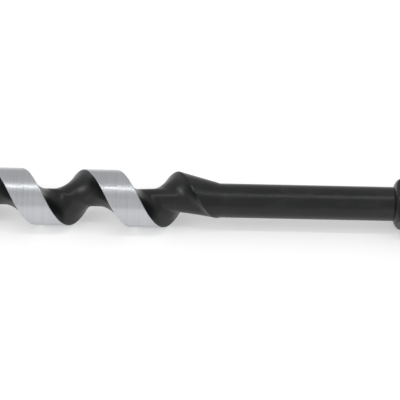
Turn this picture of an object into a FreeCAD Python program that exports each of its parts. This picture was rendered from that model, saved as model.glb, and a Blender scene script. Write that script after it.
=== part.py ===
import FreeCAD, Part
import math
import os
import Sketcher

# An auger bit for wood, 8 mm across and 230 mm long, with a hex shank. The whole tool is one
# piece of steel. Its own axis is local Z: the feed screw's point is at zero, the shank is above
# it, and the cutting lip lies along local X. The finished tool lies on the ground along world X.

doc = FreeCAD.newDocument("AugerBit")
sheet = doc.addObject("Spreadsheet::Sheet", "Sizes")

# Driving sizes, in millimetres and degrees
SIZES = [
    ("overall_length", 230.0),
    ("bit_diameter", 8.0),
    # The spiral, from the feed screw's point to the end of the lands' taper
    ("spiral_length", 167.8),
    ("spiral_lead", 13.3),
    ("land_width", 4.6),
    ("core_diameter", 2.4),
    # How steeply the flute's two walls meet the ground outside
    ("cutting_wall_angle", 85.0),
    ("back_wall_angle", 68.0),
    ("land_taper_length", 6.0),
    # The cutter's run-out, which ends a little before the lands' taper does
    ("flute_runout_length", 15.0),
    ("flute_end_margin", 1.0),
    # The feed screw
    ("feed_screw_length", 7.5),
    ("feed_screw_root_diameter", 3.0),
    ("feed_screw_point_diameter", 0.3),
    ("thread_pitch", 1.6),
    ("thread_height", 0.5),
    ("thread_width", 0.8),
    ("thread_start_height", 0.8),
    ("thread_run_in", 1.0),
    ("throat_length", 1.6),
    # The cutting head
    ("lip_relief_angle", 12.0),
    ("spur_angle", 118.0),
    ("spur_height", 1.1),
    ("spur_width", 3.0),
    ("spur_thickness", 1.1),
    ("spur_edge_thickness", 0.2),
    # The shank
    ("neck_diameter", 4.8),
    ("hex_length", 37.9),
    ("hex_across_flats", 6.35),
    ("hex_shoulder_face", 0.15),
    ("hex_shoulder_radius", 1.7),
    ("hex_end_depth", 0.8),
    ("hex_end_radius", 1.5),
    # The turn about its own axis at which the tool's weight lies lowest
    ("roll_angle", 156.6),
    # Working allowances, which leave no trace on the finished tool
    ("grinding_stock", 0.4),
    ("bury_depth", 0.15),
]
for row, (name, value) in enumerate(SIZES, start=1):
    sheet.set(f"A{row}", name)
    sheet.set(f"B{row}", str(value))
    sheet.setAlias(f"B{row}", name)
doc.recompute()


class Measure:
    """A size worked out from the sheet: its value now, and the expression that keeps it."""

    def __init__(self, value, text):
        self.value = value
        self.text = text

    def __add__(self, other):
        other = measure(other)
        return Measure(self.value + other.value, f"({self.text} + {other.text})")

    def __sub__(self, other):
        other = measure(other)
        return Measure(self.value - other.value, f"({self.text} - {other.text})")

    def __mul__(self, other):
        other = measure(other)
        return Measure(self.value * other.value, f"({self.text} * {other.text})")

    def __truediv__(self, other):
        other = measure(other)
        return Measure(self.value / other.value, f"({self.text} / {other.text})")

    def __neg__(self):
        return measure(0) - self


def measure(number):
    """A plain number as a measure; a measure stays as it is."""
    return number if isinstance(number, Measure) else Measure(float(number), str(number))


def cell(name):
    """The sheet's size of that name."""
    return Measure(float(sheet.get(name)), f"Sizes.{name}")


def sine(angle):
    return Measure(math.sin(math.radians(angle.value)), f"sin({angle.text} * 1 deg)")


def cosine(angle):
    return Measure(math.cos(math.radians(angle.value)), f"cos({angle.text} * 1 deg)")


def tangent(angle):
    return sine(angle) / cosine(angle)


def root(number):
    return Measure(math.sqrt(number.value), f"sqrt({number.text})")


# Radii and places along the axis that several features share
bury = cell("bury_depth")
land_radius = cell("bit_diameter") / 2
stock_radius = land_radius + cell("grinding_stock")
core_radius = cell("core_diameter") / 2
neck_radius = cell("neck_diameter") / 2
corner_radius = cell("hex_across_flats") / root(measure(3))
lip = cell("feed_screw_length")
spiral_end = cell("spiral_length")
runout_end = spiral_end - cell("flute_end_margin")
runout_start = runout_end - cell("flute_runout_length")
hex_start = cell("overall_length") - cell("hex_length")
zero = measure(0)

auger = doc.addObject("PartDesign::Body", "auger_bit")
auger.Label = "auger_bit"
origin = {item.Role: item for item in auger.Origin.OriginFeatures}


def new_sketch(name, role):
    """A sketch on one of the body's origin planes."""
    sketch = auger.newObject("Sketcher::SketchObject", name)
    sketch.AttachmentSupport = [(origin[role], "")]
    sketch.MapMode = "FlatFace"
    return sketch


def tie(sketch, kind, geometry, point, distance):
    """Hold a point at a distance from the sketch's origin, across or along."""
    rule = Sketcher.Constraint(kind, -1, 1, geometry, point, distance.value)
    sketch.setExpression(f"Constraints[{sketch.addConstraint(rule)}]", distance.text)


def draw_outline(sketch, corners, centres=None):
    """Closed outline through the corners. A side that has a centre is an arc about it."""
    centres = centres or {}
    places = [FreeCAD.Vector(across.value, along.value, 0) for across, along in corners]
    sides = []
    for side, begin in enumerate(places):
        end = places[(side + 1) % len(places)]
        if side not in centres:
            sides.append((sketch.addGeometry(Part.LineSegment(begin, end), False), 1, 2))
            continue
        across, along = centres[side]
        centre = FreeCAD.Vector(across.value, along.value, 0)
        turns_left = (begin - centre).cross(end - centre).z > 0
        first, last = (begin, end) if turns_left else (end, begin)
        angles = [math.atan2(place.y - centre.y, place.x - centre.x) for place in (first, last)]
        circle = Part.Circle(centre, FreeCAD.Vector(0, 0, 1), begin.distanceToPoint(centre))
        arc = sketch.addGeometry(Part.ArcOfCircle(circle, *angles), False)
        sides.append((arc, 1, 2) if turns_left else (arc, 2, 1))
        tie(sketch, "DistanceY", arc, 3, along)
    for side, (geometry, start, finish) in enumerate(sides):
        following, joint, unused = sides[(side + 1) % len(sides)]
        sketch.addConstraint(
            Sketcher.Constraint("Coincident", geometry, finish, following, joint))
        across, along = corners[side]
        tie(sketch, "DistanceX", geometry, start, across)
        tie(sketch, "DistanceY", geometry, start, along)


def add_feature(kind, name, sketch, **settings):
    """A feature of the tool made from a sketch. A measure among the settings stays bound."""
    doc.recompute()
    feature = auger.newObject(kind, name)
    feature.Profile = sketch
    feature.Refine = False
    for prop, setting in settings.items():
        if isinstance(setting, Measure):
            feature.setExpression(prop, setting.text)
        else:
            setattr(feature, prop, setting)
    doc.recompute()
    return feature


def revolve(kind, name, sketch):
    """A full turn of a sketch about the tool's axis."""
    return add_feature(kind, name, sketch, ReferenceAxis=(origin["Z_Axis"], [""]), Angle=360)


# The round bar that the spiral is milled from, with grinding stock left on the lands
bar_start = lip - land_radius
bar_sketch = new_sketch("BarProfile", "XZ_Plane")
draw_outline(bar_sketch, [
    (zero, bar_start),
    (stock_radius, bar_start),
    (stock_radius, spiral_end),
    (zero, spiral_end),
])
revolve("PartDesign::Revolution", "Bar", bar_sketch)

# The one flute, right-handed: a floor at the core between two curved walls. It starts across
# from the lip, and its cutting wall makes the lip one and a half turns on.
flute_depth = land_radius - core_radius
cutting_edge = lip - cell("spiral_lead") * 1.5
back_edge = cutting_edge + cell("spiral_lead") - cell("land_width")
walls = []
for name in ("cutting_wall_angle", "back_wall_angle"):
    steepness = cell(name)
    bend = flute_depth / (measure(1) - cosine(steepness))
    walls.append((bend, bend * sine(steepness), cell("grinding_stock") * 2 / tangent(steepness)))
(cutting_bend, cutting_reach, cutting_flare), (back_bend, back_reach, back_flare) = walls
mouth_radius = stock_radius + cell("grinding_stock")
flute_sketch = new_sketch("FluteProfile", "XZ_Plane")
draw_outline(flute_sketch, [
    (-mouth_radius, back_edge + back_flare),
    (-mouth_radius, cutting_edge - cutting_flare),
    (-land_radius, cutting_edge),
    (-core_radius, cutting_edge + cutting_reach),
    (-core_radius, back_edge - back_reach),
    (-land_radius, back_edge),
], centres={
    2: (-core_radius - cutting_bend, cutting_edge + cutting_reach),
    4: (-core_radius - back_bend, back_edge - back_reach),
})
add_feature(
    "PartDesign::SubtractiveHelix", "Flute", flute_sketch,
    ReferenceAxis=(flute_sketch, ["V_Axis"]), Mode="pitch-height-angle",
    Pitch=cell("spiral_lead"), Height=spiral_end - cutting_edge + cell("spiral_lead"))

# The front of the spiral is ground away behind the lip, at the relief angle
reach = cell("bit_diameter")
relief_rise = reach * tangent(cell("lip_relief_angle"))
relief_sketch = new_sketch("ReliefProfile", "YZ_Plane")
draw_outline(relief_sketch, [
    (-reach, lip - relief_rise),
    (-reach, lip - reach * 2),
    (reach, lip - reach * 2),
    (reach, lip + relief_rise),
])
add_feature("PartDesign::Pocket", "LipRelief", relief_sketch, Type="ThroughAll", Midplane=True)

# The spur stands on the front of the land, drawn square on to its place on the rim and one
# thickness in from it: a tooth with a steep back and a raked front
spur_inner = land_radius - cell("spur_thickness")
spur_turn = cell("spur_angle") - 90
spur_point = lip - cell("spur_height")
spur_sketch = new_sketch("SpurProfile", "XZ_Plane")
spur_sketch.AttachmentOffset = FreeCAD.Placement(
    FreeCAD.Vector(0, 0, 0), FreeCAD.Rotation(FreeCAD.Vector(0, 1, 0), 1))
spur_sketch.setExpression("AttachmentOffset.Rotation.Angle", f"{spur_turn.text} * 1 deg")
spur_sketch.setExpression("AttachmentOffset.Base.x", (-spur_inner * sine(spur_turn)).text)
spur_sketch.setExpression("AttachmentOffset.Base.z", (-spur_inner * cosine(spur_turn)).text)
draw_outline(spur_sketch, [
    (-cell("spur_width") / 6, spur_point),
    (cell("spur_width") / 2, lip + cell("spur_height")),
    (-cell("spur_width") / 2, lip + cell("spur_height")),
])
add_feature(
    "PartDesign::Pad", "Spur", spur_sketch, Reversed=True,
    Length=cell("spur_thickness") + cell("grinding_stock") / 2)

# The spur is hollow ground on its inner side only, so its outer side scores the hole's wall
spur_edge = land_radius - cell("spur_edge_thickness")
hollow = cell("spur_thickness") - cell("spur_edge_thickness")
hollow_bend = (hollow * hollow + cell("spur_height") * cell("spur_height")) / (hollow * 2)
hollow_sketch = new_sketch("SpurHollowProfile", "XZ_Plane")
draw_outline(hollow_sketch, [
    (spur_inner - bury, lip),
    (spur_inner, lip),
    (spur_edge, spur_point),
    (spur_edge, spur_point - bury),
    (spur_inner - bury, spur_point - bury),
], centres={1: (spur_edge - hollow_bend, spur_point)})
revolve("PartDesign::Groove", "SpurHollow", hollow_sketch)

# The outside is ground round to the bit's diameter, and tapers off towards the neck
taper_start = spiral_end - cell("land_taper_length")
taper_slope = (land_radius - neck_radius) / cell("land_taper_length")
clear_radius = stock_radius + cell("grinding_stock")
grind_sketch = new_sketch("GrindProfile", "XZ_Plane")
draw_outline(grind_sketch, [
    (land_radius, bar_start - land_radius),
    (land_radius, taper_start),
    (neck_radius - taper_slope * bury, spiral_end + bury),
    (clear_radius, spiral_end + bury),
    (clear_radius, bar_start - land_radius),
])
revolve("PartDesign::Groove", "GroundOutside", grind_sketch)

# The neck, with the cutter's arc along which the flute's floor rises from the core to it
runout_foot = core_radius - bury
rise = neck_radius - runout_foot
runout_length = cell("flute_runout_length")
runout_bend = (runout_length * runout_length + rise * rise) / (rise * 2)
neck_top = hex_start + corner_radius
neck_sketch = new_sketch("NeckProfile", "XZ_Plane")
draw_outline(neck_sketch, [
    (zero, runout_start),
    (runout_foot, runout_start),
    (neck_radius, runout_end),
    (neck_radius, neck_top),
    (zero, neck_top),
], centres={1: (runout_foot + runout_bend, runout_start)})
revolve("PartDesign::Revolution", "Neck", neck_sketch)


def draw_hexagon(sketch, radius):
    """Regular hexagon about the axis, with a corner across from its centre."""
    ring = sketch.addGeometry(
        Part.Circle(FreeCAD.Vector(0, 0, 0), FreeCAD.Vector(0, 0, 1), radius.value), True)
    sketch.addConstraint(Sketcher.Constraint("Coincident", ring, 3, -1, 1))
    rule = Sketcher.Constraint("Radius", ring, radius.value)
    sketch.setExpression(f"Constraints[{sketch.addConstraint(rule)}]", radius.text)
    turns = [side * math.pi / 3 for side in range(7)]
    corners = [FreeCAD.Vector(math.cos(turn), math.sin(turn), 0) * radius.value for turn in turns]
    sides = [sketch.addGeometry(Part.LineSegment(begin, end), False)
             for begin, end in zip(corners, corners[1:])]
    for side, following in zip(sides, sides[1:] + sides[:1]):
        sketch.addConstraint(Sketcher.Constraint("Coincident", side, 2, following, 1))
        sketch.addConstraint(Sketcher.Constraint("PointOnObject", side, 1, ring))
        if following != sides[0]:
            sketch.addConstraint(Sketcher.Constraint("Equal", side, following))
    sketch.addConstraint(Sketcher.Constraint("PointOnObject", sides[0], 1, -1))


# The hex shank, turned back by the tool's own roll so that one flat lies level
hex_sketch = new_sketch("HexProfile", "XY_Plane")
hex_sketch.AttachmentOffset = FreeCAD.Placement(
    FreeCAD.Vector(0, 0, 0), FreeCAD.Rotation(FreeCAD.Vector(0, 0, 1), 1))
hex_turn = measure(90) - cell("roll_angle")
hex_sketch.setExpression("AttachmentOffset.Rotation.Angle", f"{hex_turn.text} * 1 deg")
hex_sketch.setExpression("AttachmentOffset.Base.z", hex_start.text)
draw_hexagon(hex_sketch, corner_radius)
add_feature("PartDesign::Pad", "HexShank", hex_sketch, Length=cell("hex_length"))


def turned_corner(depth, bend):
    """Length of hexagon that a turned radius takes, where it cuts that deep into its corners."""
    return root(bend * bend - (bend - depth) * (bend - depth))


# A turned radius takes the hexagon's corners off at the shoulder, down to a narrow face
shoulder_radius = neck_radius + cell("hex_shoulder_face")
shoulder_bend = cell("hex_shoulder_radius")
shoulder_top = hex_start + turned_corner(corner_radius + bury - shoulder_radius, shoulder_bend)
shoulder_sketch = new_sketch("HexShoulderProfile", "XZ_Plane")
draw_outline(shoulder_sketch, [
    (shoulder_radius, hex_start - bury),
    (shoulder_radius, hex_start),
    (corner_radius + bury, shoulder_top),
    (corner_radius + bury, hex_start - bury),
], centres={1: (corner_radius + bury - shoulder_bend, shoulder_top)})
revolve("PartDesign::Groove", "HexShoulder", shoulder_sketch)

# Another rounds the shank's end
shank_end = cell("overall_length")
end_bend = cell("hex_end_radius")
end_radius = corner_radius - cell("hex_end_depth")
end_start = shank_end - turned_corner(corner_radius + bury - end_radius, end_bend)
end_sketch = new_sketch("HexEndProfile", "XZ_Plane")
draw_outline(end_sketch, [
    (end_radius, shank_end + bury),
    (end_radius, shank_end),
    (corner_radius + bury, end_start),
    (corner_radius + bury, shank_end + bury),
], centres={1: (corner_radius + bury - end_bend, end_start)})
revolve("PartDesign::Groove", "HexEnd", end_sketch)

# The feed screw: a cone with a short throat that sinks back into the core
screw_radius = cell("feed_screw_root_diameter") / 2
point_radius = cell("feed_screw_point_diameter") / 2
throat_end = lip + cell("throat_length")
cone_sketch = new_sketch("FeedScrewProfile", "XZ_Plane")
draw_outline(cone_sketch, [
    (zero, zero),
    (point_radius, zero),
    (screw_radius, lip),
    (core_radius / 2, throat_end),
    (zero, throat_end),
])
revolve("PartDesign::Revolution", "FeedScrew", cone_sketch)

# Its sharp thread is wound down the cone from inside the land, where it starts out of sight
thread_top = lip + cell("thread_run_in")
cone_slope = (screw_radius - point_radius) / lip
thread_root = point_radius + cone_slope * thread_top
half_thread = cell("thread_width") / 2
thread_sketch = new_sketch("ThreadProfile", "YZ_Plane")
draw_outline(thread_sketch, [
    (thread_root - bury, thread_top - half_thread),
    (thread_root + cell("thread_height"), thread_top),
    (thread_root - bury, thread_top + half_thread),
])
add_feature(
    "PartDesign::AdditiveHelix", "FeedThread", thread_sketch,
    ReferenceAxis=(thread_sketch, ["V_Axis"]), Mode="pitch-height-angle", Reversed=True,
    Pitch=cell("thread_pitch"), Height=thread_top - cell("thread_start_height"),
    Angle=Measure(0.0, f"-atan({cone_slope.text})"))

# The tool lies on its lands along world X, with its point to the left and its middle over the
# origin
lying = FreeCAD.Rotation(FreeCAD.Vector(0, 1, 0), 90)
roll = FreeCAD.Rotation(FreeCAD.Vector(1, 0, 0), cell("roll_angle").value)
auger.Placement = FreeCAD.Placement(FreeCAD.Vector(0, 0, 0), roll.multiply(lying))
auger.setExpression("Placement.Base.x", (-cell("overall_length") / 2).text)
auger.setExpression("Placement.Base.z", land_radius.text)
doc.recompute()

# Nothing is written unless every feature worked and the tool is one sound solid
for item in doc.Objects:
    if "Invalid" in item.State or "Error" in item.State:
        raise RuntimeError(f"{item.Name} failed: {item.State}")
tool = auger.Shape
if tool.isNull() or not tool.isValid() or len(tool.Solids) != 1:
    raise RuntimeError("the tool isn't one sound solid")

os.makedirs("parts", exist_ok=True)
tool.exportStep(f"parts/{auger.Label}.step")
print(f"{auger.Label}: volume {tool.Volume:.1f} mm3, {len(tool.Faces)} faces")
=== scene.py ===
import math

import bmesh
import bpy
from bpy.props import FloatProperty, FloatVectorProperty, IntProperty, PointerProperty
from mathutils import Matrix, Vector


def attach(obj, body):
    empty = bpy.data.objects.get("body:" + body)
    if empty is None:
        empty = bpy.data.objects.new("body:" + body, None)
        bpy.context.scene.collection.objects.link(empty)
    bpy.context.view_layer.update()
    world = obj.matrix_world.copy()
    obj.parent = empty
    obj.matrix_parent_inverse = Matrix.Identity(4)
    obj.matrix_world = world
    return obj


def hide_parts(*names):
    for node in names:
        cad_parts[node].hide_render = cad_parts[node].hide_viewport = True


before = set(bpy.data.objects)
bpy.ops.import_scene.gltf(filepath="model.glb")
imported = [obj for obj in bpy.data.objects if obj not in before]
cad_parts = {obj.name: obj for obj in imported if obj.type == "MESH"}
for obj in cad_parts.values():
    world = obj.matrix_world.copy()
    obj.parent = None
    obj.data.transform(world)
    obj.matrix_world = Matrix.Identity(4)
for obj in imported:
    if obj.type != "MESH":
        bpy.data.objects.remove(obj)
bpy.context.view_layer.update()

bl_info = {
    "name": "Auger Drill Bit",
    "version": (1, 0, 0),
    "blender": (4, 5, 0),
    "location": "View3D > Sidebar > Auger Bit",
    "description": "An auger bit for wood with its spiral, feed screw, spur and hex shank",
    "category": "Add Mesh",
}

MM = 0.001

# A Mix node's sockets go by number, because those for values and for colours share their names
FACTOR, VALUE_A, VALUE_B, COLOUR_A, COLOUR_B = 0, 2, 3, 6, 7
MIXED_VALUE, MIXED_COLOUR = 0, 2


def linear(code):
    """The linear colour of an sRGB hex code."""
    shades = [int(code[place:place + 2], 16) / 255 for place in (1, 3, 5)]
    return [shade / 12.92 if shade <= 0.04045 else ((shade + 0.055) / 1.055) ** 2.4
            for shade in shades]


def length(name, millimetres, description):
    """A length that the user can change, given in millimetres."""
    return FloatProperty(name=name, description=description, default=millimetres * MM,
                         min=0.0, precision=5, unit="LENGTH")


def turn(name, degrees, description):
    """An angle that the user can change, given in degrees."""
    return FloatProperty(name=name, description=description, default=math.radians(degrees),
                         subtype="ANGLE", unit="ROTATION")


def colour(name, code, description):
    """A colour that the user can change, given as an sRGB hex code."""
    return FloatVectorProperty(name=name, description=description, subtype="COLOR", size=3,
                               min=0.0, max=1.0, default=linear(code))


class AugerSizes(bpy.types.PropertyGroup):
    """Sizes of the auger bit"""

    overall_length: length("Overall length", 230.0, "From the feed screw's point to the far end")
    roll: turn("Roll", 156.6, "Turn about its own axis at which the tool lies")
    bit_diameter: length("Bit diameter", 8.0, "Across the ground lands")
    lead: length("Spiral lead", 13.3, "Rise of the flute in one turn")
    land_width: length("Land width", 4.6, "Width of the ground land, along the tool")
    core_diameter: length("Core diameter", 2.4, "Across the flute's floor")
    cutting_wall: turn("Cutting wall", 85.0, "How steeply the flute's cutting wall meets the land")
    back_wall: turn("Back wall", 68.0, "How steeply the flute's back wall meets the land")
    edge_radius: length("Edge radius", 0.07, "Rounding that use leaves on the lands' edges")
    spiral_end: length("Spiral end", 167.8, "Where the lands' taper ends")
    land_taper: length("Land taper", 6.0, "Length over which the lands taper off")
    runout_length: length("Flute run-out", 15.0, "Length over which the flute rises to the neck")
    runout_margin: length("Run-out margin", 1.0, "From the flute's end to the taper's end")
    neck_diameter: length("Neck diameter", 4.8, "Across the plain neck")
    lip_height: length("Lip height", 7.5, "From the feed screw's point to the cutting lip")
    lip_relief: turn("Lip relief", 12.0, "Slope of the ground face behind the lip")
    spur_place: turn("Spur place", 118.0, "Round the head from the lip to the spur")
    spur_height: length("Spur height", 1.1, "How far the spur stands beyond the lip")
    spur_width: length("Spur width", 3.0, "Width of the spur at its root")
    spur_thickness: length("Spur thickness", 1.1, "Thickness of the spur at its root")
    spur_edge: length("Spur edge", 0.2, "Thickness of the spur at its point")
    screw_root: length("Screw root", 3.0, "Across the feed screw's cone at the lip")
    screw_point: length("Screw point", 0.3, "Across the feed screw's point")
    thread_pitch: length("Thread pitch", 1.6, "Spacing of the feed screw's thread")
    thread_height: length("Thread height", 0.5, "Height of the feed screw's thread")
    thread_width: length("Thread width", 0.8, "Width of the feed screw's thread at its root")
    hex_length: length("Hex length", 37.9, "Length of the hexagonal shank")
    hex_flats: length("Across flats", 6.35, "Width of the hexagonal shank")
    hex_edge: length("Hex edge radius", 0.2, "Rounding of the hexagon's long edges")
    shoulder_face: length("Shoulder face", 0.15, "Width of the face between neck and shoulder")
    shoulder_radius: length("Shoulder radius", 1.7, "Radius turned on the hexagon's front corners")
    end_depth: length("End depth", 0.8, "How deep the end's radius cuts into the corners")
    end_radius: length("End radius", 1.5, "Radius turned on the shank's end")


class AugerFinish(bpy.types.PropertyGroup):
    """Colours and meshing of the auger bit"""

    blackened: colour("Blackened steel", "#0F1011", "Black oxide in the flute and on the shank")
    worn: colour("Worn oxide", "#3E3F42", "Where handling has thinned the oxide")
    bright: colour("Ground steel", "#C4C6C9", "Bare steel on the lands and the cutting edges")
    table: colour("Table", "#E8E8E8", "Matt white card that the tool lies on")
    turn_steps: IntProperty(name="Steps a turn", description="Sections in one turn of the spiral",
                            default=44, min=12, max=96)


def sizes():
    """The sizes as the user has set them."""
    return bpy.context.scene.auger_sizes


def finish():
    """The colours and meshing as the user has set them."""
    return bpy.context.scene.auger_finish


def lying():
    """Where the tool lies. Its own axis is Z, its feed screw's point is at the origin and its
    cutting lip lies along its X."""
    tool = sizes()
    return (Matrix.Translation((-tool.overall_length / 2, 0, tool.bit_diameter / 2))
            @ Matrix.Rotation(tool.roll, 4, "X") @ Matrix.Rotation(math.radians(90), 4, "Y"))


def wound_section(places, lead):
    """A closed section across a screw, from (radius, place along the lead)."""
    bm = bmesh.new()
    ring = []
    for radius, place in places:
        angle = -place / lead * math.tau
        ring.append(bm.verts.new((radius * math.cos(angle), radius * math.sin(angle), 0)))
    for near, far in zip(ring, ring[1:] + ring[:1]):
        bm.edges.new((near, far))
    return bm


def wind(bm, lead, start, end, steps_a_turn):
    """Winds the section up the axis, from one height to another."""
    first = start * math.tau / lead
    bmesh.ops.rotate(bm, cent=(0, 0, 0), matrix=Matrix.Rotation(first, 3, "Z"), verts=bm.verts)
    bmesh.ops.translate(bm, vec=(0, 0, start), verts=bm.verts)
    turns = (end - start) / lead
    steps = math.ceil(turns * steps_a_turn)
    bmesh.ops.spin(bm, geom=bm.verts[:] + bm.edges[:], cent=(0, 0, 0), axis=(0, 0, 1),
                   dvec=(0, 0, (end - start) / steps), angle=turns * math.tau, steps=steps,
                   use_merge=False, use_duplicate=False)


def raise_ring(bm, edges, rise):
    """Extrudes a ring of edges up the axis and returns the new ring."""
    made = bmesh.ops.extrude_edge_only(bm, edges=edges)["geom"]
    raised = {item for item in made if isinstance(item, bmesh.types.BMVert)}
    bmesh.ops.translate(bm, verts=list(raised), vec=(0, 0, rise))
    return [edge for edge in bm.edges if edge.verts[0] in raised and edge.verts[1] in raised]


def set_radius(vert, radius):
    """Moves a vertex to that distance from the axis."""
    scale = radius / math.hypot(vert.co.x, vert.co.y)
    vert.co.x *= scale
    vert.co.y *= scale


def close_ends(bm):
    """Fills every open end with one face."""
    bmesh.ops.holes_fill(bm, edges=[edge for edge in bm.edges if edge.is_boundary], sides=0)


def finish_piece(bm, name, *materials, crease=40):
    """Lays the piece down in its place and makes its object, which stands for the solid.

    Edges that turn by more than the crease, in degrees, stay sharp."""
    bmesh.ops.recalc_face_normals(bm, faces=bm.faces)
    bmesh.ops.transform(bm, matrix=lying(), verts=bm.verts)
    mesh = bpy.data.meshes.new(name)
    bm.to_mesh(mesh)
    bm.free()
    for material in materials:
        mesh.materials.append(material)
    mesh.shade_smooth()
    mesh.set_sharp_from_angle(angle=math.radians(crease))
    piece = bpy.data.objects.new(name, mesh)
    bpy.context.scene.collection.objects.link(piece)
    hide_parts("auger_bit")
    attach(piece, "root")


def add_node(tree, kind, links=None, **settings):
    """Adds a shader node with its settings. Each input takes a socket or a plain value."""
    node = tree.nodes.new(kind)
    for name, value in settings.items():
        setattr(node, name, value)
    for name, source in (links or {}).items():
        if isinstance(source, bpy.types.NodeSocket):
            tree.links.new(source, node.inputs[name])
        else:
            node.inputs[name].default_value = source
    return node


def new_material(name):
    """A material with an empty tree, and the tree."""
    material = bpy.data.materials.new(name)
    material.use_nodes = True
    material.node_tree.nodes.clear()
    return material, material.node_tree


def from_axis(tree):
    """A point's place from the middle of the lying tool's axis."""
    return add_node(tree, "ShaderNodeMapping", {
        "Vector": add_node(tree, "ShaderNodeTexCoord").outputs["Object"],
        "Location": (0, 0, -sizes().bit_diameter / 2),
    }).outputs["Vector"]


def axis_distance(tree, place):
    """How far a place is from the tool's axis."""
    across = add_node(tree, "ShaderNodeVectorMath", {
        0: place, 1: (0, 1, 1)}, operation="MULTIPLY").outputs["Vector"]
    return add_node(tree, "ShaderNodeVectorMath", {
        0: across}, operation="LENGTH").outputs["Value"]


def turned_marks(tree):
    """Rings round the axis, as a wheel or a lathe leaves them on a side or an end.

    They are 0.02 mm apart, and are drawn 0.25 mm apart so that they show. Along a ring they
    change fifty times more slowly than across it."""
    place = from_axis(tree)
    radius = axis_distance(tree, place)
    return add_node(tree, "ShaderNodeTexNoise", {
        "Vector": add_node(tree, "ShaderNodeVectorMath", {
            0: place, 1: (1, 0.02, 0.02),
            2: add_node(tree, "ShaderNodeCombineXYZ", {"Y": radius}).outputs["Vector"],
        }, operation="MULTIPLY_ADD").outputs["Vector"],
        "Scale": 1 / (0.25 * MM), "Detail": 3, "Roughness": 0.7,
    }).outputs["Fac"]


def milled_marks(tree):
    """Lines along the flute, as the milling cutter leaves them, 0.3 mm apart."""
    place = from_axis(tree)
    axes = add_node(tree, "ShaderNodeSeparateXYZ", {"Vector": place}).outputs
    angle = add_node(tree, "ShaderNodeMath", {
        0: axes["Z"], 1: axes["Y"]}, operation="ARCTAN2").outputs["Value"]
    lead = sizes().lead
    phase = add_node(tree, "ShaderNodeMath", {
        0: add_node(tree, "ShaderNodeMath", {
            0: axes["X"], 1: math.tau / lead}, operation="MULTIPLY").outputs["Value"],
        1: angle}, operation="SUBTRACT").outputs["Value"]
    # The phase is laid on a circle one lead round, so that the lines meet where it starts again
    circle = add_node(tree, "ShaderNodeCombineXYZ", {
        "X": add_node(tree, "ShaderNodeMath", {
            0: phase}, operation="COSINE").outputs["Value"],
        "Y": add_node(tree, "ShaderNodeMath", {
            0: phase}, operation="SINE").outputs["Value"],
    }).outputs["Vector"]
    outwards = add_node(tree, "ShaderNodeCombineXYZ", {"Z": axis_distance(tree, place)})
    across = add_node(tree, "ShaderNodeVectorMath", {
        0: circle, 1: (lead / math.tau,) * 3, 2: outwards.outputs["Vector"],
    }, operation="MULTIPLY_ADD").outputs["Vector"]
    return add_node(tree, "ShaderNodeTexNoise", {
        "Vector": across, "Scale": 1 / (0.3 * MM), "Detail": 2, "Roughness": 0.6,
    }).outputs["Fac"]


def spiral_marks(tree):
    """The milling cutter's lines in the flute and the lathe's rings on the neck."""
    tool = sizes()
    neck = tool.spiral_end - tool.overall_length / 2
    along = add_node(tree, "ShaderNodeSeparateXYZ", {"Vector": from_axis(tree)}).outputs["X"]
    return add_node(tree, "ShaderNodeMix", {
        FACTOR: add_node(tree, "ShaderNodeMapRange", {
            "Value": along,
            "From Min": neck - 1 * MM, "From Max": neck, "To Min": 0.0, "To Max": 1.0,
        }).outputs["Result"],
        VALUE_A: milled_marks(tree), VALUE_B: turned_marks(tree),
    }, data_type="FLOAT").outputs[MIXED_VALUE]


def shank_marks(tree):
    """The drawing die's lines along the flats and the lathe's rings on both ends.

    The die's lines are 0.03 mm apart, and are drawn 0.3 mm apart so that they show."""
    normal = add_node(tree, "ShaderNodeTexCoord").outputs["Normal"]
    facing = add_node(tree, "ShaderNodeMath", {
        0: add_node(tree, "ShaderNodeSeparateXYZ", {"Vector": normal}).outputs["X"],
    }, operation="ABSOLUTE").outputs["Value"]
    lines = add_node(tree, "ShaderNodeTexNoise", {
        "Vector": add_node(tree, "ShaderNodeMapping", {
            "Vector": add_node(tree, "ShaderNodeTexCoord").outputs["Object"],
            "Scale": (0.02, 1, 1)}).outputs["Vector"],
        "Scale": 1 / (0.3 * MM), "Detail": 3, "Roughness": 0.7,
    }).outputs["Fac"]
    return add_node(tree, "ShaderNodeMix", {
        FACTOR: add_node(tree, "ShaderNodeMapRange", {
            "Value": facing, "From Min": 0.05, "From Max": 0.15, "To Min": 0.0, "To Max": 1.0,
        }).outputs["Result"],
        VALUE_A: lines, VALUE_B: turned_marks(tree),
    }, data_type="FLOAT").outputs[MIXED_VALUE]


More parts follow.
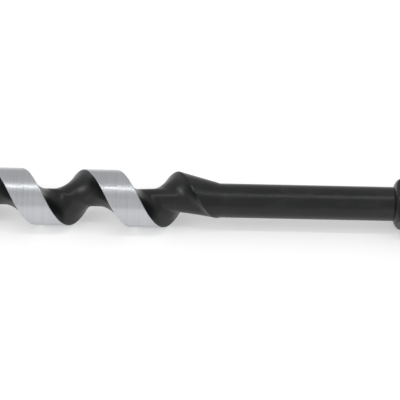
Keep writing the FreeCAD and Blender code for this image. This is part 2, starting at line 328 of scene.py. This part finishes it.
def blackened_steel(name, marks, bare_from, bare_to):
    """Tool steel, blackened in hot oxide salts and oiled, then ground bare on the outside.

    The oxide is a satin black with faint cloudy patches over the marks of the machining.
    It is ground away between the two radii, and past them the steel is bright with the
    wheel's rings."""
    material, tree = new_material(name)
    place = add_node(tree, "ShaderNodeTexCoord").outputs["Object"]
    rings = turned_marks(tree)

    # Cloudy patches about 4 mm long, stretched along the tool as it hung in the bath
    clouds = add_node(tree, "ShaderNodeTexNoise", {
        "Vector": add_node(tree, "ShaderNodeMapping", {
            "Vector": place, "Scale": (0.5, 1, 1)}).outputs["Vector"],
        "Scale": 1 / (2 * MM), "Detail": 4, "Roughness": 0.6,
    }).outputs["Fac"]
    # The oxide's grain, matt pits about 0.15 mm across
    grain = add_node(tree, "ShaderNodeTexNoise", {
        "Vector": place, "Scale": 1 / (0.15 * MM), "Detail": 3, "Roughness": 0.6,
    }).outputs["Fac"]

    # The grinding wheel's edge wanders a little along the land's corners
    wander = add_node(tree, "ShaderNodeMath", {
        0: add_node(tree, "ShaderNodeMath", {
            0: clouds, 1: 0.5}, operation="SUBTRACT").outputs["Value"],
        1: 0.15 * MM, 2: axis_distance(tree, from_axis(tree)),
    }, operation="MULTIPLY_ADD").outputs["Value"]
    bare = add_node(tree, "ShaderNodeMapRange", {
        "Value": wander,
        "From Min": bare_from, "From Max": bare_to, "To Min": 0.0, "To Max": 1.0,
    }, interpolation_type="SMOOTHSTEP").outputs["Result"]

    oxide = add_node(tree, "ShaderNodeMix", {
        FACTOR: add_node(tree, "ShaderNodeMapRange", {
            "Value": clouds,
            "From Min": 0.5, "From Max": 0.8, "To Min": 0.0, "To Max": 0.3}).outputs["Result"],
        COLOUR_A: (*finish().blackened, 1), COLOUR_B: (*finish().worn, 1),
    }, data_type="RGBA").outputs[MIXED_COLOUR]
    ground = add_node(tree, "ShaderNodeMix", {
        FACTOR: add_node(tree, "ShaderNodeMapRange", {
            "Value": rings,
            "From Min": 0.3, "From Max": 0.7, "To Min": 0.15, "To Max": 0.0}).outputs["Result"],
        COLOUR_A: (*finish().bright, 1), COLOUR_B: (*finish().worn, 1),
    }, data_type="RGBA").outputs[MIXED_COLOUR]
    base = add_node(tree, "ShaderNodeMix", {
        FACTOR: bare, COLOUR_A: oxide, COLOUR_B: ground,
    }, data_type="RGBA").outputs[MIXED_COLOUR]

    machined = marks(tree)
    satin = add_node(tree, "ShaderNodeMath", {
        0: add_node(tree, "ShaderNodeMath", {
            0: machined, 1: 0.5}, operation="MULTIPLY").outputs["Value"],
        1: add_node(tree, "ShaderNodeMath", {
            0: clouds, 1: 0.5}, operation="MULTIPLY").outputs["Value"],
    }, operation="ADD").outputs["Value"]
    polish = add_node(tree, "ShaderNodeMix", {
        FACTOR: bare,
        VALUE_A: add_node(tree, "ShaderNodeMapRange", {
            "Value": satin,
            "From Min": 0.3, "From Max": 0.7, "To Min": 0.26, "To Max": 0.38}).outputs["Result"],
        VALUE_B: add_node(tree, "ShaderNodeMapRange", {
            "Value": rings,
            "From Min": 0.3, "From Max": 0.7, "To Min": 0.26, "To Max": 0.36}).outputs["Result"],
    }, data_type="FLOAT").outputs[MIXED_VALUE]
    rough = add_node(tree, "ShaderNodeMath", {
        0: machined, 1: 1.2, 2: grain}, operation="MULTIPLY_ADD").outputs["Value"]
    relief = add_node(tree, "ShaderNodeMix", {
        FACTOR: bare, VALUE_A: rough, VALUE_B: rings,
    }, data_type="FLOAT").outputs[MIXED_VALUE]
    bump = add_node(tree, "ShaderNodeBump", {
        "Height": relief, "Strength": 0.35, "Distance": 0.01 * MM,
    }).outputs["Normal"]
    shader = add_node(tree, "ShaderNodeBsdfPrincipled", {
        "Base Color": base, "Metallic": bare, "Roughness": polish,
        "Specular IOR Level": 0.4, "Normal": bump,
    }).outputs["BSDF"]
    add_node(tree, "ShaderNodeOutputMaterial", {"Surface": shader})
    return material


def bright_steel(name, marks, depth):
    """Bare tool steel, bright as cut, that a stone or a threading tool has scored to a depth."""
    material, tree = new_material(name)
    scored = marks(tree)
    base = add_node(tree, "ShaderNodeMix", {
        FACTOR: add_node(tree, "ShaderNodeMapRange", {
            "Value": scored,
            "From Min": 0.35, "From Max": 0.75, "To Min": 0.3, "To Max": 0.0}).outputs["Result"],
        COLOUR_A: (*finish().bright, 1), COLOUR_B: (*finish().worn, 1),
    }, data_type="RGBA").outputs[MIXED_COLOUR]
    bump = add_node(tree, "ShaderNodeBump", {
        "Height": scored, "Strength": 0.4, "Distance": depth,
    }).outputs["Normal"]
    shader = add_node(tree, "ShaderNodeBsdfPrincipled", {
        "Base Color": base, "Metallic": 1.0,
        "Roughness": add_node(tree, "ShaderNodeMapRange", {
            "Value": scored,
            "From Min": 0.3, "From Max": 0.7, "To Min": 0.22, "To Max": 0.36,
        }).outputs["Result"],
        "Normal": bump,
    }).outputs["BSDF"]
    add_node(tree, "ShaderNodeOutputMaterial", {"Surface": shader})
    return material


def honed_marks(tree):
    """Short straight scratches across the cutting edges, as a hand stone leaves them.

    They are 0.02 mm apart, and are drawn 0.12 mm apart so that they show."""
    return add_node(tree, "ShaderNodeTexNoise", {
        "Vector": add_node(tree, "ShaderNodeMapping", {
            "Vector": add_node(tree, "ShaderNodeTexCoord").outputs["Object"],
            "Scale": (1, 0.04, 1)}).outputs["Vector"],
        "Scale": 1 / (0.12 * MM), "Detail": 3, "Roughness": 0.7,
    }).outputs["Fac"]


def land_steel():
    """The steel of the spiral, black in its flute and ground bright on its land."""
    name = "blackened_steel_with_ground_land"
    land = sizes().bit_diameter / 2
    return bpy.data.materials.get(name) or blackened_steel(
        name, spiral_marks, bare_from=land - 0.14 * MM, bare_to=land - 0.04 * MM)


def honed_steel():
    """The steel of the cutting faces, honed by hand."""
    name = "honed_tool_steel"
    return bpy.data.materials.get(name) or bright_steel(name, honed_marks, depth=0.01 * MM)


class AUGER_OT_spiral(bpy.types.Operator):
    """Wind the spiral with its ground land, lip, tapered end and plain neck"""

    bl_idname = "auger.spiral"
    bl_label = "Spiral and Neck"

    def flute_section(self):
        """The flute and the land over one lead, from the lip upwards."""
        tool = sizes()
        land = tool.bit_diameter / 2
        core = tool.core_diameter / 2
        mouth = tool.lead - tool.land_width
        wall_steps, floor_steps, land_steps = 14, 4, 22
        # Each wall is an arc that leaves the floor level and ends at its own slope
        arcs = []
        for wall in (tool.cutting_wall, tool.back_wall):
            bend = (land - core) / (1 - math.cos(wall))
            arcs.append((wall, bend, bend * math.sin(wall)))
        (wall, bend, reach), (back, back_bend, back_reach) = arcs
        places = []
        for step in range(wall_steps + 1):
            slope = wall * (1 - step / wall_steps)
            places.append((core + bend * (1 - math.cos(slope)), reach - bend * math.sin(slope)))
        for step in range(1, floor_steps):
            places.append((core, reach + (mouth - back_reach - reach) * step / floor_steps))
        for step in range(wall_steps + 1):
            slope = back * step / wall_steps
            places.append((core + back_bend * (1 - math.cos(slope)),
                           mouth - back_reach + back_bend * math.sin(slope)))
        for step in range(1, land_steps):
            places.append((land, mouth + tool.land_width * step / land_steps))
        return places

    def is_corner(self, vert):
        """Whether the section turns sharply at a vertex."""
        near, far = [edge.other_vert(vert).co - vert.co for edge in vert.link_edges]
        return near.angle(far) < math.radians(150)

    def grind_front(self, bm):
        """Grinds the front away behind the lip, and bares the new face."""
        relief = sizes().lip_relief
        cut = bmesh.ops.bisect_plane(bm, geom=bm.verts[:] + bm.edges[:] + bm.faces[:],
                                     plane_co=(0, 0, 0),
                                     plane_no=(0, -math.sin(relief), math.cos(relief)),
                                     clear_inner=True)
        rim = [item for item in cut["geom_cut"] if isinstance(item, bmesh.types.BMEdge)]
        for face in bmesh.ops.holes_fill(bm, edges=rim, sides=0)["faces"]:
            face.material_index = 1

    def run_out(self, bm):
        """Tapers the lands off, and raises the flute's floor along the cutter's arc."""
        tool = sizes()
        land = tool.bit_diameter / 2
        neck = tool.neck_diameter / 2
        core = tool.core_diameter / 2
        taper_start = tool.spiral_end - tool.land_taper
        runout_start = tool.spiral_end - tool.runout_margin - tool.runout_length
        rise = neck - core
        bend = (tool.runout_length ** 2 + rise ** 2) / (2 * rise)
        rounding = 0.2 * MM
        for vert in bm.verts:
            height = vert.co.z
            if height <= runout_start:
                continue
            radius = math.hypot(*vert.co.xy)
            along = min(height - runout_start, tool.runout_length)
            floor = core + bend - math.sqrt(bend ** 2 - along ** 2)
            # The larger of the two, rounded where they meet
            radius = (radius + floor + math.hypot(radius - floor, rounding)) / 2
            fall = min(max(height - taper_start, 0) / tool.land_taper, 1)
            radius = min(radius, land + (neck - land) * fall)
            set_radius(vert, max(radius, neck) if height > tool.spiral_end else radius)

    def execute(self, context):
        tool = sizes()
        overrun = 1 * MM
        overlap = 2 * MM
        bm = wound_section(self.flute_section(), tool.lead)
        corners = [vert for vert in bm.verts if self.is_corner(vert)]
        bmesh.ops.bevel(bm, geom=corners, offset=tool.edge_radius, affect="VERTICES", segments=3,
                        profile=0.5, material=-1)
        # From before the lip, so that the front has all its steel to be ground from
        wind(bm, tool.lead, -tool.spur_height, tool.spiral_end - tool.lip_height + overrun,
             finish().turn_steps)
        close_ends(bm)
        self.grind_front(bm)
        bmesh.ops.translate(bm, verts=bm.verts, vec=(0, 0, tool.lip_height))
        self.run_out(bm)

        # The plain neck runs on into the hexagon
        top = max(bm.faces, key=lambda face: face.calc_center_median().z)
        rim = list(top.edges)
        bmesh.ops.delete(bm, geom=[top], context="FACES_ONLY")
        neck_end = tool.overall_length - tool.hex_length + overlap
        raise_ring(bm, rim, neck_end - tool.spiral_end - overrun)
        close_ends(bm)
        finish_piece(bm, "spiral", land_steel(), honed_steel())
        return {"FINISHED"}


class AUGER_OT_spur(bpy.types.Operator):
    """Stand the spur on the front of the land"""

    bl_idname = "auger.spur"
    bl_label = "Spur"

    def bend_to_head(self, bm, rim):
        """Bends a block of unit size round the head, with its outside at the rim.

        Its width lies round the head, its length along the tool and its depth inwards."""
        tool = sizes()
        land = tool.bit_diameter / 2
        root = land - tool.spur_thickness
        point = land - tool.spur_edge
        hollow = point - root
        bend = (hollow ** 2 + tool.spur_height ** 2) / (2 * hollow)
        # The share of the width left at the point, and how far the point leads the root
        point_width, point_lead = 0.06, 1 / 6
        for vert in bm.verts:
            rise = vert.co.y + 0.5
            across = (vert.co.x * (point_width + (1 - point_width) * rise)
                      - (1 - rise) * point_lead)
            angle = tool.spur_place - across * tool.spur_width / land
            height = tool.lip_height + tool.spur_height * (2 * rise - 1)
            # The inner side is hollow ground from the root to the point
            below = min(max(tool.lip_height - height, 0), tool.spur_height)
            inner = point - bend + math.sqrt(bend ** 2 - (tool.spur_height - below) ** 2)
            radius = inner if vert.co.z > 0.5 else rim
            vert.co = (radius * math.cos(angle), radius * math.sin(angle), height)

    def execute(self, context):
        # Tucked in by less than can be seen, so that it lies just under the land
        rim = sizes().bit_diameter / 2 - 0.012 * MM
        bm = bmesh.new()
        bmesh.ops.create_grid(bm, x_segments=12, y_segments=20, size=0.5)
        block = bmesh.ops.extrude_face_region(bm, geom=bm.faces[:])["geom"]
        # Not moved by an operator, which would renew the normals that choose the edges to
        # bevel, so that the four edges that run inwards would be bevelled too
        for item in block:
            if isinstance(item, bmesh.types.BMVert):
                item.co.z = 1
        self.bend_to_head(bm, rim)

        # In radians
        sharp = 0.7
        bmesh.ops.bevel(bm, geom=[edge for edge in bm.edges if edge.calc_face_angle(0) > sharp],
                        offset=0.03 * MM, affect="EDGES", segments=2, profile=0.5, material=-1)
        for vert in bm.verts:
            set_radius(vert, min(math.hypot(*vert.co.xy), rim))
        bmesh.ops.remove_doubles(bm, verts=bm.verts, dist=0.001 * MM)

        # The outside is ground with the land, and the rest is honed
        for face in bm.faces:
            inmost = min(math.hypot(*vert.co.xy) for vert in face.verts)
            face.material_index = 0 if inmost > rim - 0.01 * MM else 1
        finish_piece(bm, "spur", land_steel(), honed_steel())
        return {"FINISHED"}


class AUGER_OT_feed_screw(bpy.types.Operator):
    """Cut the feed screw that draws the bit into the wood"""

    bl_idname = "auger.feed_screw"
    bl_label = "Feed Screw"

    def thread_section(self, root):
        """A thin sharp crest with hollow flanks over one pitch, on a plain root."""
        tool = sizes()
        half = tool.thread_width / 2
        steps = 12
        flank_hollow = 1.25
        places = []
        for step in range(-steps, steps + 1):
            share = 1 - abs(step) / steps
            places.append((root + tool.thread_height * share ** flank_hollow,
                           half * step / steps))
        for step in range(1, steps):
            places.append((root, half + (tool.thread_pitch - tool.thread_width) * step / steps))
        return places

    def execute(self, context):
        tool = sizes()
        # It is wound on an even root, and each height then gets the cone's radius
        even_root = 1 * MM
        overrun = 1.5 * MM
        grown_at = 2.2 * MM
        least_growth = 0.05
        sink_slope = 0.45
        bm = wound_section(self.thread_section(even_root), tool.thread_pitch)
        wind(bm, tool.thread_pitch, 0, tool.lip_height + overrun, steps_a_turn=40)
        root = tool.screw_root / 2
        point = tool.screw_point / 2
        for vert in bm.verts:
            height = vert.co.z
            thread = math.hypot(*vert.co.xy) - even_root
            # The thread grows from nothing at the point and sinks back into the head
            growth = min(max(height / grown_at, least_growth), 1)
            cone = point + (root - point) * min(height / tool.lip_height, 1)
            sink = max(height - tool.lip_height, 0) * sink_slope
            set_radius(vert, cone + thread * growth - sink)
        close_ends(bm)
        steel = bright_steel("screw_cut_steel", turned_marks, depth=0.006 * MM)
        finish_piece(bm, "feed_screw", steel, crease=50)
        return {"FINISHED"}


class AUGER_OT_shank(bpy.types.Operator):
    """Make the hexagonal shank with its turned shoulder and end"""

    bl_idname = "auger.shank"
    bl_label = "Hex Shank"

    def hexagon(self, angle):
        """The hexagon's radius at an angle from a corner, with its long edges rounded."""
        tool = sizes()
        # Half of one side, as seen from the axis
        side = math.radians(30)
        angle = (angle + side) % (2 * side) - side
        centre = (tool.hex_flats / 2 - tool.hex_edge) / math.cos(side)
        touch = math.atan2(tool.hex_edge * math.sin(side),
                           centre + tool.hex_edge * math.cos(side))
        if abs(angle) < touch:
            return (centre * math.cos(angle)
                    + math.sqrt(tool.hex_edge ** 2 - (centre * math.sin(angle)) ** 2))
        return tool.hex_flats / 2 / math.cos(side - abs(angle))

    def lathe(self):
        """What the lathe leaves on the bar: the lengths of the shoulder and of the end, and the
        radius at a height above the shoulder."""
        tool = sizes()
        corner = tool.hex_flats / math.sqrt(3)
        # The radii run out just beyond the hexagon's corners
        outer = corner + 0.15 * MM
        face = tool.neck_diameter / 2 + tool.shoulder_face
        shoulder = tool.shoulder_radius
        shoulder_length = math.sqrt(shoulder ** 2 - (shoulder - outer + face) ** 2)
        end_face = corner - tool.end_depth
        end_length = math.sqrt(tool.end_radius ** 2
                               - (tool.end_radius - outer + end_face) ** 2)

        def turned(height):
            front = max(shoulder_length - height, 0)
            back = max(height - tool.hex_length + end_length, 0)
            return min(outer - shoulder + math.sqrt(shoulder ** 2 - front ** 2),
                       outer - tool.end_radius + math.sqrt(tool.end_radius ** 2 - back ** 2))

        return shoulder_length, end_length, turned

    def execute(self, context):
        tool = sizes()
        shoulder_length, end_length, turned = self.lathe()
        columns, shoulder_rings, end_rings = 168, 36, 26
        levels = [shoulder_length * step / shoulder_rings for step in range(1, shoulder_rings + 1)]
        levels += [tool.hex_length / 2]
        levels += [tool.hex_length - end_length * (1 - step / end_rings)
                   for step in range(end_rings + 1)]
        bm = bmesh.new()
        bmesh.ops.create_circle(bm, cap_ends=False, segments=columns, radius=1)
        edges = bm.edges[:]
        height = 0
        for level in levels:
            edges = raise_ring(bm, edges, level - height)
            height = level

        # Corners lie level, and the ring's columns crowd towards them
        first = math.radians(90) - tool.roll
        side = math.radians(60)
        crowding = 1.5
        for vert in bm.verts:
            part = math.atan2(vert.co.y, vert.co.x) / side
            offset = part - round(part)
            crowded = (abs(offset) * 2) ** crowding / 2 * math.copysign(1, offset)
            angle = (round(part) + crowded) * side
            radius = min(self.hexagon(angle), turned(vert.co.z))
            vert.co.x = radius * math.cos(angle + first)
            vert.co.y = radius * math.sin(angle + first)
        bmesh.ops.translate(bm, verts=bm.verts,
                            vec=(0, 0, tool.overall_length - tool.hex_length))
        close_ends(bm)

        # Handling bares only the corners' outermost edge
        corner = tool.hex_flats / math.sqrt(3)
        worn = 0.06 * MM
        steel = blackened_steel("blackened_drawn_steel", shank_marks, corner - worn, corner + worn)
        finish_piece(bm, "hex_shank", steel, crease=30)
        return {"FINISHED"}


class AUGER_OT_stage(bpy.types.Operator):
    """Set the white table, the soft lamps and the camera"""

    bl_idname = "auger.stage"
    bl_label = "Studio"

    def execute(self, context):
        scene = context.scene
        self.add_table(scene)
        # Place in metres, size of the softbox in metres and power in watts
        self.add_lamp("overhead_softbox", (0.05, -0.08, 0.50), (0.7, 0.02), 0.46)
        self.add_lamp("front_softbox", (-0.25, -0.75, 0.35), (0.7, 0.5), 0.2)
        self.add_lamp("side_softbox", (-0.50, -0.20, 0.40), (0.3, 0.3), 1.1)
        self.set_world(scene)
        self.set_camera(scene)
        scene.view_settings.view_transform = "Standard"
        return {"FINISHED"}

    def add_table(self, scene):
        """A table top 6 m wide under the tool."""
        bm = bmesh.new()
        bmesh.ops.create_grid(bm, x_segments=1, y_segments=1, size=3)
        mesh = bpy.data.meshes.new("table")
        bm.to_mesh(mesh)
        bm.free()
        mesh.materials.append(self.table_material())
        table = bpy.data.objects.new("table", mesh)
        scene.collection.objects.link(table)

    def table_material(self):
        """Matt white card, which shows as pure white wherever no shadow falls."""
        glow_strength = 0.35
        material, tree = new_material("matt_white_card")
        card = add_node(tree, "ShaderNodeBsdfDiffuse", {"Color": (*finish().table, 1)})
        rays = add_node(tree, "ShaderNodeLightPath")
        seen = add_node(tree, "ShaderNodeMath", {
            0: rays.outputs["Is Camera Ray"],
            1: add_node(tree, "ShaderNodeMath", {
                0: rays.outputs["Is Glossy Ray"], 1: rays.outputs["Is Transmission Ray"],
            }, operation="MAXIMUM").outputs["Value"],
        }, operation="MAXIMUM")
        glow = add_node(tree, "ShaderNodeEmission", {
            "Strength": add_node(tree, "ShaderNodeMath", {
                0: seen.outputs["Value"], 1: glow_strength,
            }, operation="MULTIPLY").outputs["Value"],
        })
        both = add_node(tree, "ShaderNodeAddShader", {
            0: card.outputs["BSDF"], 1: glow.outputs["Emission"]})
        add_node(tree, "ShaderNodeOutputMaterial", {"Surface": both.outputs["Shader"]})
        return material

    def add_lamp(self, name, place, size, power):
        """A rectangular softbox that faces the tool's neck."""
        lamp = bpy.data.lights.new(name, "AREA")
        lamp.shape = "RECTANGLE"
        lamp.size, lamp.size_y = size
        lamp.energy = power
        softbox = bpy.data.objects.new(name, lamp)
        softbox.location = place
        aim = Vector((0.05, 0, 0)) - Vector(place)
        softbox.rotation_euler = aim.to_track_quat("-Z", "Y").to_euler()
        bpy.context.scene.collection.objects.link(softbox)

    def set_world(self, scene):
        """An even pale grey room, which the ground lands mirror."""
        world = bpy.data.worlds.new("studio")
        world.use_nodes = True
        tree = world.node_tree
        tree.nodes.clear()
        room = add_node(tree, "ShaderNodeBackground", {
            "Color": (1, 1, 1, 1), "Strength": 0.64})
        add_node(tree, "ShaderNodeOutputWorld", {"Surface": room.outputs["Background"]})
        scene.world = world

    def set_camera(self, scene):
        """Close above the end of the spiral, looking down on the lying tool."""
        tool = sizes()
        view_width = 56.16 * MM
        before_shoulder = 27.18 * MM
        elevation = math.radians(40)
        roll = math.radians(1.20)
        lens = bpy.data.cameras.new("camera")
        lens.sensor_width = 36
        lens.lens = 216
        lens.clip_start = 0.02
        distance = view_width * lens.lens / lens.sensor_width
        shoulder = tool.overall_length / 2 - tool.hex_length
        centre = Vector((shoulder - before_shoulder, 0, tool.bit_diameter / 2))
        back = Vector((0, -math.cos(elevation), math.sin(elevation)))
        camera = bpy.data.objects.new("camera", lens)
        camera.matrix_world = (Matrix.Translation(centre + back * distance)
                               @ Matrix.Rotation(math.radians(90) - elevation, 4, "X")
                               @ Matrix.Rotation(roll, 4, "Z"))
        scene.collection.objects.link(camera)
        scene.camera = camera


class AUGER_PT_panel(bpy.types.Panel):
    """Lists the pieces of the auger bit, its sizes and its finish"""

    bl_label = "Auger Bit"
    bl_idname = "AUGER_PT_panel"
    bl_space_type = "VIEW_3D"
    bl_region_type = "UI"
    bl_category = "Auger Bit"

    def draw(self, context):
        column = self.layout.column()
        for piece in PIECES:
            column.operator(piece.bl_idname)
        for group in (sizes(), finish()):
            box = self.layout.box()
            for name in group.bl_rna.properties.keys():
                if name not in {"rna_type", "name"}:
                    box.prop(group, name)


PIECES = (AUGER_OT_spiral, AUGER_OT_spur, AUGER_OT_feed_screw, AUGER_OT_shank, AUGER_OT_stage)
CLASSES = (AugerSizes, AugerFinish, *PIECES, AUGER_PT_panel)


def register():
    for each in CLASSES:
        bpy.utils.register_class(each)
    bpy.types.Scene.auger_sizes = PointerProperty(type=AugerSizes)
    bpy.types.Scene.auger_finish = PointerProperty(type=AugerFinish)


def unregister():
    del bpy.types.Scene.auger_finish
    del bpy.types.Scene.auger_sizes
    for each in reversed(CLASSES):
        bpy.utils.unregister_class(each)


def main():
    register()
    bpy.ops.auger.spiral()
    bpy.ops.auger.spur()
    bpy.ops.auger.feed_screw()
    bpy.ops.auger.shank()
    bpy.ops.auger.stage()


if __name__ == "__main__":
    main()
